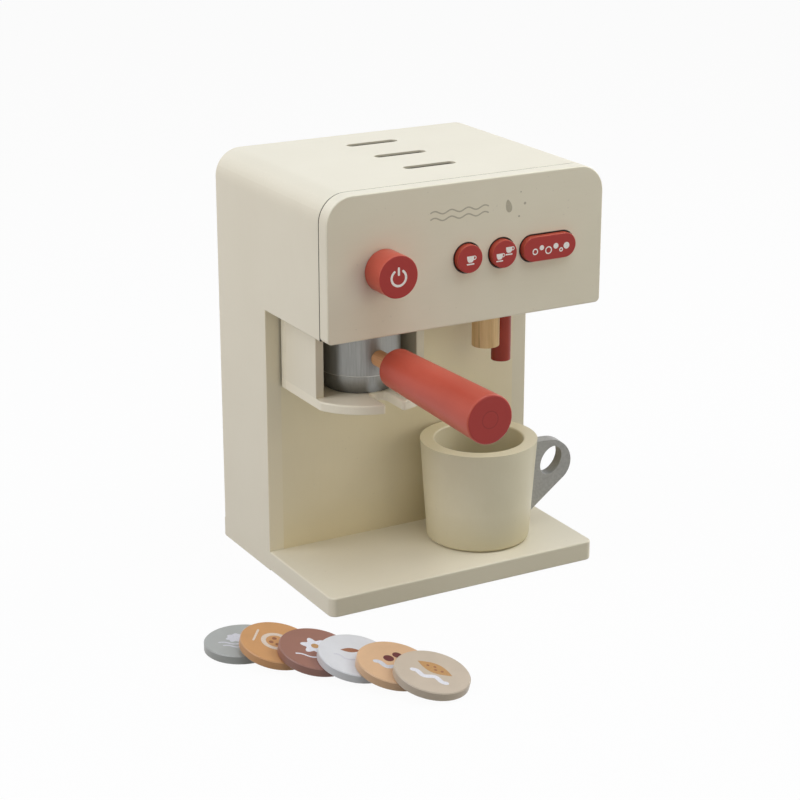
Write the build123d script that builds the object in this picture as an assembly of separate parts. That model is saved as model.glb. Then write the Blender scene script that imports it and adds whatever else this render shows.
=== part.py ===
from build123d import *
import math
import os

# A toy espresso machine made of painted boards and turned wood, with its mug and six flavour discs.
# Millimetres, +Z up, +Y to the back. The origin is the centre of the base board's underside.

# Housing
width = 180.0                 # over the two side boards
depth = 145.0                 # base board, back to front
height = 246.5                # table to top board
base_thickness = 12.0
side_thickness = 9.5
top_thickness = 9.5
rear_thickness = 9.5
wall_thickness = 9.5          # serving wall that closes the column's front
floor_thickness = 9.5         # board that closes the head's underside
panel_thickness = 10.0
column_depth = 64.4           # back face to serving wall face
head_depth = 143.8            # back face to front panel face
head_underside = 163.5        # table to the underside of the head
shoulder_radius = 16.0        # long top edges of the head
base_corner_radius = 5.0      # front corners of the base, seen from above
panel_corner_radius = 3.0     # lower corners of the front panel
edge_ease = 1.0               # sanded edges that a hand meets
fine_ease = 0.6               # crisper edges of the controls and the column
seam_ease = 0.3               # fine edges either side of a joint
panel_seam_gap = 0.7          # shadow gap round the panel's back rim
seam_depth = 3.0              # depth of the shadow gaps

# Disc slots in the top board
slot_count = 3
slot_length = 34.0
slot_width = 6.5
slot_pitch = 34.5
slot_middle_y = 8.0           # middle slot

# Power knob
knob_inset = 35.3             # left side to the knob's centre
controls_drop = 2.8           # middle of the head's inside to the knob and button centres
knob_diameter = 24.4
knob_length = 16.5
shaft_diameter = 8.0
shaft_seat = 12.0             # depth of the shaft in the knob
collar_diameter = 20.0
collar_thickness = 5.0
shaft_end = 1.5               # shaft behind the collar

# Push buttons
button_row_inset = 19.6       # right side to the end of the long hole
button_diameter = 16.4
milk_button_height = 14.6
milk_button_straight = 21.0   # straight stretch between the rounded ends
round_web = 5.2               # panel left between the two round holes
milk_web = 3.2                # panel left beside the long hole
button_proud = 3.6            # face in front of the panel
button_travel = 3.0
button_gap = 0.6              # hole radius less button radius
flange_lip = 1.2              # flange past the hole's edge
flange_thickness = 2.5
stem_diameter = 4.0
stem_end = 1.0                # stem behind the guide board at rest
spring_length = 8.0           # at rest
spring_diameter = 6.4         # middle of the wire
spring_wire = 0.8
spring_turns = 4
spring_steps = 9              # straight stretches in one turn
guide_floor = 5.0             # guide board behind the springs
guide_margin = 5.0            # guide board round its channel
channel_gap = 1.0             # channel radius less round flange radius

# Portafilter bay
bay_inner_width = 60.8
bay_wall_thickness = 5.2
bay_back_thickness = 5.2
bay_back_standoff = 1.5       # shadow gap between the back board's edges and the serving wall
bay_wall_reach = 45.5         # serving wall to the walls' front edges
bay_plate_thickness = 5.5
bay_plate_underside = 116.0   # table to the plate
bay_plate_reach = 74.6        # serving wall to the plate's rounded front
bay_plate_radius = 39.0
bay_plate_round = 1.2         # upper edges
drip_slot_width = 11.0
drip_slot_length = 24.0       # mouth to rounded end
drip_slot_round = 1.5         # corners at the slot's mouth

# Portafilter
basket_reach = 31.6           # serving wall to the basket's axis
basket_diameter = 48.0
basket_height = 38.0
bowl_height = 10.5            # rounded lower part
bowl_step = 0.8               # bowl inside the upper ring
bowl_foot_diameter = 41.0
basket_bore = 36.0
basket_bore_depth = 26.0
pin_diameter = 9.5
pin_z = 143.0
pin_exposed = 20.8            # basket to handle
pin_seat = 20.0               # depth in the handle
handle_length = 100.6
handle_near_diameter = 23.2
handle_far_diameter = 27.8
handle_ease = 1.2

# Nozzle and steam wand
nozzle_inset = 54.5           # right side to axis
nozzle_reach = 40.6           # serving wall to axis
nozzle_diameter = 16.5
nozzle_underside = 134.8
wand_inset = 34.5
wand_reach = 26.1
wand_diameter = 12.0
wand_underside = 118.8

# Mug
mug_inset = 55.9              # right side to axis
mug_height = 62.9
mug_rim_diameter = 71.2
mug_foot_diameter = 62.4
mug_wall = 8.6
mug_floor = 10.0
mug_rim_round = 2.2           # outside of the rim
mug_lip_round = 1.0           # inside of the rim
mug_foot_round = 2.5
mug_inner_round = 6.0
mug_wall_gap = 1.0            # rim to serving wall
mug_handle_turn = -7.0        # degrees about the mug's axis
mug_handle_thickness = 9.0
mug_handle_top = 56.2         # above the mug's foot
mug_handle_tip = 9.7          # lower end on the mug's side, above its foot
mug_handle_slope = 40.8       # degrees, underside from level
mug_handle_round = 14.6       # outer bend
mug_handle_ease = 0.8
finger_hole_x = 46.9          # mug axis to the hole's middle
finger_hole_z = 42.9          # above the mug's foot
finger_hole_long = 19.2
finger_hole_short = 12.8
finger_hole_lean = 27.0       # degrees, long axis from upright

# Flavour discs, laid down in a row that leans on the first one
disc_names = ("grey", "tan", "brown", "white", "peach", "beige")
disc_diameter = 42.0
disc_thickness = 5.0
disc_pitch = 23.0             # along the row
disc_row_angle = -54.0        # degrees from +X
disc_row_start = (-151.4, -82.2)
disc_sideways = (0.0, -2.3, -0.6, 1.3, 1.8, 0.0)   # how far each disc lies off the row's line
disc_ease = 0.5

# Clearances
glue_gap = 0.05               # radial, dowel in its bore
running_gap = 0.08            # radial, shaft that turns or slides
rest_gap = 0.3                # between a loose piece and what carries it
disc_gap = 0.1                # between neighbouring discs
nearby = 0.01                 # for picking edges by their place

# Places worked out from the sizes
inner_x = width / 2 - side_thickness
back_y = depth / 2
column_y = back_y - column_depth
panel_face_y = back_y - head_depth
seam_y = panel_face_y + panel_thickness
top_underside = height - top_thickness
button_radius = button_diameter / 2
hole_radius = button_radius + button_gap
milk_reach = milk_button_straight / 2 + milk_button_height / 2 + button_gap
milk_x = width / 2 - button_row_inset - milk_reach
two_cup_x = milk_x - milk_reach - milk_web - hole_radius
one_cup_x = two_cup_x - 2 * hole_radius - round_web
knob_x = knob_inset - width / 2
controls_z = (head_underside + floor_thickness + top_underside) / 2 - controls_drop
nozzle_x = width / 2 - nozzle_inset
wand_x = width / 2 - wand_inset
mug_x = width / 2 - mug_inset
flange_front_y = seam_y + rest_gap
spring_front_y = flange_front_y + flange_thickness
spring_back_y = spring_front_y + spring_length
guide_back_y = spring_back_y + guide_floor
bay_left_x = -inner_x
bay_right_x = bay_left_x + bay_inner_width + 2 * bay_wall_thickness
bay_x = (bay_left_x + bay_right_x) / 2
bay_plate_top = bay_plate_underside + bay_plate_thickness
bay_back_y = column_y - bay_back_standoff - bay_back_thickness
basket_y = column_y - basket_reach
basket_foot = bay_plate_top + rest_gap
handle_near_y = basket_y - basket_diameter / 2 - pin_exposed
mug_y = column_y - mug_wall_gap - mug_rim_diameter / 2
mug_foot = base_thickness + rest_gap
disc_tilt = math.asin((disc_thickness + disc_gap) / disc_pitch)


# Shapes that several pieces share

def block(x, y, z):
    """Box between (low, high) pairs along each axis."""
    size = (x[1] - x[0], y[1] - y[0], z[1] - z[0])
    return Pos(sum(x) / 2, sum(y) / 2, sum(z) / 2) * Box(*size)


def prism_y(outline, front, back):
    """Extrude an outline drawn in X and Z from one Y to another."""
    return extrude(Plane.XZ.offset(-back) * outline, back - front)


def rod_y(x, z, radius, front, back):
    """Round bar along Y."""
    return prism_y(Pos(x, z) * Circle(radius), front, back)


def rod_z(x, y, radius, low, high):
    """Round bar along Z."""
    return Pos(x, y, low) * extrude(Circle(radius), high - low)


def turned(profile, x, y, z):
    """Revolve a profile drawn in radius and height about a vertical axis."""
    return Pos(x, y, z) * revolve(Plane.XZ * profile, Axis.Z)


# Housing boards

def head_outline(low, bottom_radius=0.0, inset=0.0):
    """Width by height from a level to the top, with the long top edges rounded, drawn in by an inset."""
    middle = (low + height) / 2
    outline = Pos(0, middle) * Rectangle(width - 2 * inset, height - low - 2 * inset)
    corners = outline.vertices().group_by(Axis.Y)
    outline = fillet(corners[-1], shoulder_radius - inset)
    if bottom_radius > inset:
        outline = fillet(outline.vertices().group_by(Axis.Y)[0], bottom_radius - inset)
    return outline


def shell_envelope():
    """Outside of the boards above the base, with eased back edges."""
    envelope = prism_y(head_outline(base_thickness), seam_y, back_y)
    faces = envelope.faces().sort_by(Axis.Y)
    back_edges = faces[-1].edges().filter_by(lambda e: e.center().Z > base_thickness + nearby)
    envelope = fillet(back_edges, edge_ease)
    front_edges = envelope.faces().sort_by(Axis.Y)[0].edges()
    front_edges = front_edges.filter_by(lambda e: e.center().Z > base_thickness + nearby)
    return chamfer(front_edges, seam_ease)


def base_plate():
    """Square at the back, where the boards stand on it, and eased in front of the column."""
    front = block((-width / 2, width / 2), (-back_y, column_y), (0, base_thickness))
    corners = front.edges().filter_by(Axis.Z).group_by(Axis.Y)[0]
    front = fillet(corners, base_corner_radius)
    faces = front.faces().sort_by(Axis.Z)
    rims = faces[0].edges() + faces[-1].edges()
    front = fillet(rims.filter_by(lambda e: e.center().Y < column_y - nearby), edge_ease)
    rear = block((-width / 2, width / 2), (column_y, back_y), (0, base_thickness))
    low_back = rear.faces().sort_by(Axis.Z)[0].edges().sort_by(Axis.Y)[-1]
    return front + fillet(low_back, edge_ease)


def side_board(side):
    """Column and head arm in one board. side is -1 for left and 1 for right."""
    across = sorted((side * inner_x, side * width / 2))
    outer = Axis((0, 0, 0), (side, 0, 0))
    column = block(across, (column_y, back_y), (base_thickness, top_underside))
    outer_front = column.edges().filter_by(Axis.Z).group_by(Axis.Y)[0].sort_by(outer)[-1]
    column = fillet(outer_front, fine_ease)
    arm = block(across, (seam_y, back_y), (head_underside, top_underside))
    outer_low = arm.edges().filter_by(Axis.Y).group_by(Axis.Z)[0].sort_by(outer)[-1]
    arm = fillet(outer_low, edge_ease)
    return (column + arm) & shell_envelope()


def top_board():
    """Lies over the side boards, with a row of slots routed through it."""
    board = block((-width / 2, width / 2), (seam_y, back_y), (top_underside, height))
    board = board & shell_envelope()
    for k in range(slot_count):
        y = slot_middle_y + (k - (slot_count - 1) / 2) * slot_pitch
        slot = extrude(Pos(0, y, top_underside) * SlotOverall(slot_length, slot_width), top_thickness)
        board -= slot
    return board


def rear_board():
    return block((-inner_x, inner_x), (back_y - rear_thickness, back_y), (base_thickness, top_underside))


def serving_wall():
    return block((-inner_x, inner_x), (column_y, column_y + wall_thickness), (base_thickness, head_underside))


def head_floor():
    """Closes the head's underside and holds the nozzle and the wand in bores."""
    top = head_underside + floor_thickness
    board = block((-inner_x, inner_x), (seam_y, back_y - rear_thickness), (head_underside, top))
    board -= rod_z(nozzle_x, column_y - nozzle_reach, nozzle_diameter / 2 + glue_gap, head_underside, top)
    board -= rod_z(wand_x, column_y - wand_reach, wand_diameter / 2 + glue_gap, head_underside, top)
    return board


def front_panel():
    """Rounded board glued over the front of the head, bored for the knob and the buttons."""
    rebate_y = seam_y - panel_seam_gap
    panel = prism_y(head_outline(head_underside, panel_corner_radius), panel_face_y, rebate_y)
    panel = fillet(panel.faces().sort_by(Axis.Y)[0].edges(), edge_ease)
    panel = chamfer(panel.faces().sort_by(Axis.Y)[-1].edges(), seam_ease)
    panel += prism_y(head_outline(head_underside, panel_corner_radius, seam_depth), rebate_y, seam_y)
    panel -= rod_y(knob_x, controls_z, shaft_diameter / 2 + running_gap, panel_face_y, seam_y)
    for outline in (one_cup_outline, two_cup_outline, milk_outline):
        panel -= prism_y(outline(button_gap), panel_face_y, seam_y)
    return panel


# Power knob

def power_knob():
    front = panel_face_y - rest_gap - knob_length
    knob = rod_y(knob_x, controls_z, knob_diameter / 2, front, panel_face_y - rest_gap)
    knob = fillet(knob.edges().sort_by(Axis.Y)[0], fine_ease)
    knob = fillet(knob.edges().sort_by(Axis.Y)[-1], seam_ease)
    seat_end = panel_face_y - rest_gap - shaft_seat
    return knob - rod_y(knob_x, controls_z, shaft_diameter / 2 + glue_gap, seat_end, panel_face_y)


def knob_shaft():
    front = panel_face_y - rest_gap - shaft_seat
    back = seam_y + rest_gap + collar_thickness + shaft_end
    return rod_y(knob_x, controls_z, shaft_diameter / 2, front, back)


def knob_collar():
    """Ring glued to the shaft behind the panel, so that the knob turns but stays in."""
    front = seam_y + rest_gap
    ring = rod_y(knob_x, controls_z, collar_diameter / 2, front, front + collar_thickness)
    return ring - rod_y(knob_x, controls_z, shaft_diameter / 2 + glue_gap, front, front + collar_thickness)


# Push buttons

def one_cup_outline(grow):
    return Pos(one_cup_x, controls_z) * Circle(button_radius + grow)


def two_cup_outline(grow):
    return Pos(two_cup_x, controls_z) * Circle(button_radius + grow)


def milk_outline(grow):
    return Pos(milk_x, controls_z) * SlotCenterToCenter(milk_button_straight, milk_button_height + 2 * grow)


def push_button(outline, x):
    """Cap through the panel, flange that stops behind it, and stem in the guide board."""
    face_y = panel_face_y - button_proud
    cap = prism_y(outline(0), face_y, flange_front_y)
    cap = fillet(cap.faces().sort_by(Axis.Y)[0].edges(), fine_ease)
    flange = prism_y(outline(button_gap + flange_lip), flange_front_y, spring_front_y)
    stem = rod_y(x, controls_z, stem_diameter / 2, spring_front_y, guide_back_y + stem_end)
    return cap + flange + stem


def button_spring(x):
    """Coil of six-sided wire round the stem, between the flange and the floor of the guide board."""
    rise = spring_length - spring_wire
    radius = spring_diameter / 2
    points = []
    for k in range(spring_turns * spring_steps + 1):
        turn = k / spring_steps
        angle = 2 * math.pi * turn
        points.append((radius * math.cos(angle), radius * math.sin(angle), rise * turn / spring_turns))
    path = Polyline(points)
    section = Plane(origin=path @ 0, z_dir=path % 0) * RegularPolygon(spring_wire / 2, 6)
    coil = sweep(section, path=path, transition=Transition.RIGHT)
    return Pos(x, spring_back_y - spring_wire / 2, controls_z) * Rot(90, 0, 0) * coil


def button_guide_board():
    """Board glued behind the panel, with one channel for the flanges and springs."""
    right_x = milk_x + milk_button_straight / 2
    channel_radius = hole_radius + flange_lip + channel_gap
    middle_x = (one_cup_x + right_x) / 2
    half_length = (right_x - one_cup_x) / 2 + channel_radius + guide_margin
    half_height = channel_radius + guide_margin
    across = (middle_x - half_length, middle_x + half_length)
    board = block(across, (seam_y, guide_back_y), (controls_z - half_height, controls_z + half_height))
    channel = Pos(middle_x, controls_z) * SlotCenterToCenter(right_x - one_cup_x, 2 * channel_radius)
    board -= prism_y(channel, seam_y, spring_back_y)
    for x in (one_cup_x, two_cup_x, milk_x):
        board -= rod_y(x, controls_z, stem_diameter / 2 + running_gap, spring_back_y, guide_back_y)
    return board


# Portafilter bay

def bay_back():
    """Board behind the bay. Its upright edges are rebated, so that they stand off the serving wall."""
    low = bay_plate_underside
    board = block((bay_left_x, bay_right_x), (bay_back_y, column_y), (low, head_underside))
    rebate_y = column_y - bay_back_standoff
    for edge_x in (bay_left_x, bay_right_x - seam_depth):
        board -= block((edge_x, edge_x + seam_depth), (rebate_y, column_y), (low, head_underside))
    outer_front = board.edges().filter_by(Axis.Z).group_by(Axis.Y)[0]
    return chamfer(outer_front, seam_ease)


def bay_wall(left_x):
    front = column_y - bay_wall_reach
    wall = block((left_x, left_x + bay_wall_thickness), (front, bay_back_y), (bay_plate_top, head_underside))
    return chamfer(wall.edges().filter_by(Axis.Z), seam_ease)


def bay_plate():
    """Shelf with a rounded front and a short open slot under the basket's outlet."""
    front = column_y - bay_plate_reach
    nose_y = front + bay_plate_radius
    slab = Pos(bay_x, (front + bay_back_y) / 2) * Rectangle(bay_right_x - bay_left_x, bay_back_y - front)
    outline = Pos(bay_x, nose_y) * Circle(bay_plate_radius)
    outline += Pos(bay_x, (nose_y + bay_back_y) / 2) * Rectangle(2 * bay_plate_radius, bay_back_y - nose_y)
    outline &= slab
    slot_end_y = front + drip_slot_length - drip_slot_width / 2
    outline -= Pos(bay_x, slot_end_y) * Circle(drip_slot_width / 2)
    outline -= Pos(bay_x, (front + slot_end_y) / 2) * Rectangle(drip_slot_width, slot_end_y - front)
    outline = fillet(outline.vertices().sort_by(Axis.Y)[0:2], drip_slot_round)
    plate = Pos(0, 0, bay_plate_underside) * extrude(outline, bay_plate_thickness)
    wall_front = column_y - bay_wall_reach
    upper = plate.faces().sort_by(Axis.Z)[-1].edges().filter_by(lambda e: e.center().Y < wall_front)
    plate = fillet(upper, bay_plate_round)
    lower = plate.faces().sort_by(Axis.Z)[0].edges().filter_by(lambda e: e.center().Y < wall_front)
    return chamfer(lower, seam_ease)


# Portafilter

def filter_basket():
    """Turned cup: upper ring, a small step, and a bowl that curves in to its foot."""
    ring = basket_diameter / 2
    bowl = ring - bowl_step
    foot = bowl_foot_diameter / 2
    profile = make_face(Curve() + [
        Line((0, 0), (foot, 0)),
        TangentArc((bowl, bowl_height), (foot, 0), tangent=(0, -1)),
        Line((bowl, bowl_height), (ring, bowl_height)),
        Line((ring, bowl_height), (ring, basket_height)),
        Line((ring, basket_height), (0, basket_height)),
        Line((0, basket_height), (0, 0)),
    ])
    basket = turned(profile, bay_x, basket_y, basket_foot)
    rims = basket.edges().filter_by(lambda e: abs(e.length - 2 * math.pi * ring) < nearby)
    basket = fillet(rims, fine_ease)
    top = basket_foot + basket_height
    basket -= rod_z(bay_x, basket_y, basket_bore / 2, top - basket_bore_depth, top)
    return basket - rod_y(bay_x, pin_z, pin_diameter / 2 + glue_gap, basket_y - ring, basket_y)


def handle_pin():
    """Dowel from the basket's wall into the handle."""
    back = basket_y - basket_bore / 2
    front = handle_near_y - pin_seat
    pin = rod_y(bay_x, pin_z, pin_diameter / 2, front, back)
    wall = rod_z(bay_x, basket_y, basket_bore / 2, pin_z - pin_diameter, pin_z + pin_diameter)
    return pin - wall


def portafilter_handle():
    """Turned grip, thicker towards its free end, bored for the pin."""
    near = handle_near_diameter / 2
    far = handle_far_diameter / 2
    ends = Polyline((0, 0), (near, 0), (far, -handle_length), (0, -handle_length), close=True)
    grip = revolve(make_face(ends), Axis.Y)
    grip = fillet(grip.edges().filter_by(GeomType.CIRCLE), handle_ease)
    grip = Pos(bay_x, handle_near_y, pin_z) * grip
    bore = rod_y(bay_x, pin_z, pin_diameter / 2 + glue_gap, handle_near_y - pin_seat, handle_near_y)
    return grip - bore


# Nozzle and wand

def hanging_dowel(x, reach, diameter, underside):
    top = head_underside + floor_thickness
    dowel = rod_z(x, column_y - reach, diameter / 2, underside, top)
    return fillet(dowel.edges().sort_by(Axis.Z)[0], seam_ease)


# Mug

def mug_body():
    """Outside of the mug, full, about the vertical axis at the origin."""
    rim = mug_rim_diameter / 2
    foot = mug_foot_diameter / 2
    outline = Polyline((0, 0), (foot, 0), (rim, mug_height), (0, mug_height), close=True)
    return turned(make_face(outline), 0, 0, 0)


def mug_cup():
    """Turned cup with a thick tapering wall, a rounded rim and a rounded inside corner."""
    inner_rim = mug_rim_diameter / 2 - mug_wall
    inner_foot = mug_foot_diameter / 2 - mug_wall
    outline = Polyline((0, mug_floor), (inner_foot, mug_floor), (inner_rim, mug_height), (0, mug_height),
                       close=True)
    hollow = turned(make_face(outline), 0, 0, 0)
    hollow = fillet(hollow.edges().sort_by(Axis.Z)[0], mug_inner_round)
    cup = mug_body() - hollow
    lip, rim = cup.edges().filter_by(GeomType.CIRCLE).group_by(Axis.Z)[-1].sort_by(lambda e: e.length)
    cup = fillet(rim, mug_rim_round)
    cup = fillet(lip, mug_lip_round)
    cup = fillet(cup.edges().sort_by(Axis.Z)[0], mug_foot_round)
    return Pos(mug_x, mug_y, mug_foot) * cup


def mug_handle():
    """Board loop with a level top and a sloping underside, saddle-cut to the mug's side."""
    half = mug_handle_thickness / 2
    tip = (mug_foot_diameter / 2, mug_handle_tip)
    corner_x = tip[0] + (mug_handle_top - tip[1]) / math.tan(math.radians(mug_handle_slope))
    corners = Polyline((0, mug_handle_top), (corner_x, mug_handle_top), tip, (0, tip[1]), close=True)
    outline = make_face(corners)
    outline = fillet(outline.vertices().sort_by(Axis.X)[-1], mug_handle_round)
    hole = Rot(0, 0, -finger_hole_lean) * Ellipse(finger_hole_short / 2, finger_hole_long / 2)
    outline -= Pos(finger_hole_x, finger_hole_z) * hole
    loop = prism_y(outline, -half, half)
    for face in (loop.faces().sort_by(Axis.Y)[0], loop.faces().sort_by(Axis.Y)[-1]):
        rims = face.edges().filter_by(lambda e: e.center().X > tip[0])
        loop = chamfer(rims, mug_handle_ease)
    loop -= mug_body()
    return Pos(mug_x, mug_y, mug_foot) * Rot(0, 0, mug_handle_turn) * loop


# Flavour discs

def flavour_disc(index):
    """The first disc lies flat and each next one leans on the disc before it."""
    radius = disc_diameter / 2
    disc = extrude(Pos(-radius, 0) * Circle(radius), disc_thickness)
    disc = chamfer(disc.edges().filter_by(GeomType.CIRCLE), disc_ease)
    row = Pos(*disc_row_start, 0) * Rot(0, 0, disc_row_angle) * Pos(0, disc_sideways[index], 0)
    if index == 0:
        return row * Pos(radius, 0, 0) * disc
    foot = radius + disc_pitch * math.cos(disc_tilt) + (index - 1) * disc_pitch
    return row * Pos(foot, 0, 0) * Rot(0, math.degrees(disc_tilt), 0) * disc


def all_nodes():
    """Every piece by name."""
    nodes = {
        "base_plate": base_plate(),
        "side_board_left": side_board(-1),
        "side_board_right": side_board(1),
        "top_board": top_board(),
        "rear_board": rear_board(),
        "serving_wall": serving_wall(),
        "head_floor": head_floor(),
        "front_panel": front_panel(),
        "button_guide_board": button_guide_board(),
        "power_knob": power_knob(),
        "knob_shaft": knob_shaft(),
        "knob_collar": knob_collar(),
        "button_one_cup": push_button(one_cup_outline, one_cup_x),
        "button_two_cup": push_button(two_cup_outline, two_cup_x),
        "button_milk_foam": push_button(milk_outline, milk_x),
        "spring_one_cup": button_spring(one_cup_x),
        "spring_two_cup": button_spring(two_cup_x),
        "spring_milk_foam": button_spring(milk_x),
        "bay_back": bay_back(),
        "bay_wall_left": bay_wall(bay_left_x),
        "bay_wall_right": bay_wall(bay_right_x - bay_wall_thickness),
        "bay_plate": bay_plate(),
        "filter_basket": filter_basket(),
        "handle_pin": handle_pin(),
        "portafilter_handle": portafilter_handle(),
        "coffee_nozzle": hanging_dowel(nozzle_x, nozzle_reach, nozzle_diameter, nozzle_underside),
        "steam_wand": hanging_dowel(wand_x, wand_reach, wand_diameter, wand_underside),
        "mug_cup": mug_cup(),
        "mug_handle": mug_handle(),
    }
    for index, name in enumerate(disc_names):
        nodes["disc_" + name] = flavour_disc(index)
    return nodes


os.makedirs("parts", exist_ok=True)
for node_name, solid in all_nodes().items():
    export_step(solid, f"parts/{node_name}.step")
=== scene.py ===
import bpy
import math
from mathutils import Matrix, Vector


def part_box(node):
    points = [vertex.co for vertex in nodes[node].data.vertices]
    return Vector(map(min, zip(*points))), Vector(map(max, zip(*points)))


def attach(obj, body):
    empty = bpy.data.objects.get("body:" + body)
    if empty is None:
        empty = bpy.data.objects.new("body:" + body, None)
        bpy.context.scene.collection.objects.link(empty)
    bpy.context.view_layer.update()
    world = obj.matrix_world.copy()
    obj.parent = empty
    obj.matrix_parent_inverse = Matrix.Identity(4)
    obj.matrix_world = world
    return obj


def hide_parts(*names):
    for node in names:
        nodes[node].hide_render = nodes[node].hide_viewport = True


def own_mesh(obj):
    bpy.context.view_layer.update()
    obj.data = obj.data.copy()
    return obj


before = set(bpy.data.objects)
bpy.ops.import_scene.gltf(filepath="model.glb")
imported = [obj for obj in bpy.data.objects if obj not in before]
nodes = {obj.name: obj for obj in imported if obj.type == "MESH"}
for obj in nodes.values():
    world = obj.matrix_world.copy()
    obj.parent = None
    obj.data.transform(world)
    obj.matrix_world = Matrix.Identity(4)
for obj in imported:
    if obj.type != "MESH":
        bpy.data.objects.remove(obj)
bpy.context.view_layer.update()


# Table, lamps and camera. The toy stands on a white table among softboxes: two above it, two low in front,
# one at its right and two at its left. The table shows white and keeps a soft shadow.

class Wire:
    """A socket's value that can be added and multiplied like a number."""

    def __init__(self, finish, socket):
        self.finish = finish
        self.socket = socket

    def math(self, operation, *others):
        return self.finish.node("ShaderNodeMath", {"operation": operation}, dict(enumerate((self, *others))))

    def __add__(self, other):
        return self.math("ADD", other)

    def __sub__(self, other):
        return self.math("SUBTRACT", other)

    def __rsub__(self, other):
        return self.finish.node("ShaderNodeMath", {"operation": "SUBTRACT"}, {0: other, 1: self})

    def __mul__(self, other):
        return self.math("MULTIPLY", other)

    def __pow__(self, other):
        return self.math("POWER", other)

    def __abs__(self):
        return self.math("ABSOLUTE")

    __radd__ = __add__
    __rmul__ = __mul__

    def most(self, other):
        return self.math("MAXIMUM", other)

    def clamped(self, low, high):
        """0 at low, 1 at high, and straight between them."""
        sockets = {0: self, 1: low, 2: high, 3: 0.0, 4: 1.0}
        return self.finish.node("ShaderNodeMapRange", {"clamp": True}, sockets)

    def output(self, name):
        return Wire(self.finish, self.socket.node.outputs[name])


class Finish:
    """A material, or the world round the table, that is put together from nodes."""

    def __init__(self, name, owners=bpy.data.materials, end="ShaderNodeOutputMaterial"):
        self.made = owners.new(name)
        self.made.use_nodes = True
        self.tree = self.made.node_tree
        self.tree.nodes.clear()
        self.end = end

    def node(self, kind, settings=None, sockets=None):
        """Add a node, and give its first output."""
        made = self.tree.nodes.new(kind)
        for name, value in (settings or {}).items():
            setattr(made, name, value)
        for key, value in (sockets or {}).items():
            if isinstance(value, Wire):
                self.tree.links.new(value.socket, made.inputs[key])
            else:
                made.inputs[key].default_value = value
        return Wire(self, made.outputs[0]) if made.outputs else None

    def surface(self, shader):
        """Close the nodes with this shader."""
        self.node(self.end, None, {"Surface": shader})
        return self.made


def seen_rays(finish):
    """1 for the rays that show a thing to the camera, straight or by way of metal or glass."""
    rays = finish.node("ShaderNodeLightPath")
    seen = rays.output("Is Camera Ray") + rays.output("Is Glossy Ray") + rays.output("Is Transmission Ray")
    return seen.clamped(0, 1)


WHITE = (1, 1, 1, 1)
TABLE_SIZE = 12.0
TABLE_WHITE = (0.40, 0.40, 0.40, 1)
TABLE_GLOW = 1.04
TABLE_GLOW_SHARE = 0.92       # of what the camera sees there; the rest is paint, which shows the shadow

bpy.ops.object.select_all(action="DESELECT")
bpy.ops.mesh.primitive_plane_add(size=TABLE_SIZE)
table = bpy.context.object
table.name = "table"
table_finish = Finish("table_white")
paper = table_finish.node("ShaderNodeBsdfDiffuse", None, {"Color": TABLE_WHITE})
glow = table_finish.node("ShaderNodeEmission", None, {"Color": WHITE, "Strength": TABLE_GLOW})
table.data.materials.append(table_finish.surface(table_finish.node(
    "ShaderNodeMixShader", None, {0: seen_rays(table_finish) * TABLE_GLOW_SHARE, 1: paper, 2: glow})))

ROOM_LIGHT = 0.167
ROOM_COLOUR = (1.0, 0.97, 0.90, 1)
room = Finish("room", bpy.data.worlds, "ShaderNodeOutputWorld")
daylight = room.node("ShaderNodeBackground", None, {"Color": ROOM_COLOUR, "Strength": ROOM_LIGHT})
backdrop = room.node("ShaderNodeBackground", None, {"Color": WHITE, "Strength": 1.0})
bpy.context.scene.world = room.surface(room.node(
    "ShaderNodeMixShader", None, {0: seen_rays(room), 1: daylight, 2: backdrop}))

AIM = Vector((0.0, 0.0, 0.11))
SOFTBOXES = (
    # name, place, side, watts, colour
    ("softbox_above", (0.0, 0.05, 1.40), 0.80, 4.10, (0.68, 0.78, 1.0)),
    ("softbox_above_front", (0.10, -0.55, 1.35), 0.80, 4.52, (0.81, 0.89, 1.0)),
    ("softbox_front", (-0.20, -2.00, 0.35), 1.40, 2.36, (1.0, 0.95, 0.85)),
    ("softbox_front_right", (0.90, -1.80, 0.45), 1.20, 6.64, (1.0, 0.93, 0.76)),
    ("softbox_right", (1.10, -0.20, 1.00), 0.90, 8.85, (1.0, 0.97, 0.94)),
    ("softbox_left_low", (-1.30, 0.25, 0.55), 0.90, 5.76, (1.0, 0.95, 0.96)),
    ("softbox_left_high", (-1.00, 0.10, 1.10), 0.80, 4.90, (0.96, 0.96, 1.0)),
)
for name, place, side, watts, colour in SOFTBOXES:
    lamp = bpy.data.lights.new(name, "AREA")
    lamp.shape = "SQUARE"
    lamp.size = side
    lamp.energy = watts
    lamp.color = colour
    holder = bpy.data.objects.new(name, lamp)
    bpy.context.scene.collection.objects.link(holder)
    holder.location = place
    holder.rotation_euler = (AIM - Vector(place)).to_track_quat("-Z", "Y").to_euler()

CAMERA_PLACE = (-0.60068, -1.06465, 0.51448)
CAMERA_DOWN = 18.893          # degrees below level
CAMERA_TURN = 29.245          # degrees to the right of straight ahead
SENSOR_WIDTH = 36.0           # millimetres, as is the focal length
FOCAL_LENGTH = 95.86
NEAR_CLIP = 0.05
camera = bpy.data.objects.new("camera", bpy.data.cameras.new("camera"))
bpy.context.scene.collection.objects.link(camera)
camera.location = CAMERA_PLACE
camera.rotation_euler = (math.radians(90 - CAMERA_DOWN), 0, -math.radians(CAMERA_TURN))
camera.data.sensor_width = SENSOR_WIDTH
camera.data.lens = FOCAL_LENGTH
camera.data.clip_start = NEAR_CLIP
bpy.context.scene.camera = camera
bpy.context.scene.view_settings.view_transform = "Standard"


# Painted boards of the housing. Birch plywood, sanded, with two coats of satin cream paint laid on by roller,
# which leaves a fine orange-peel. The boards are glued, and the paint runs over the joints.

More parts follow.
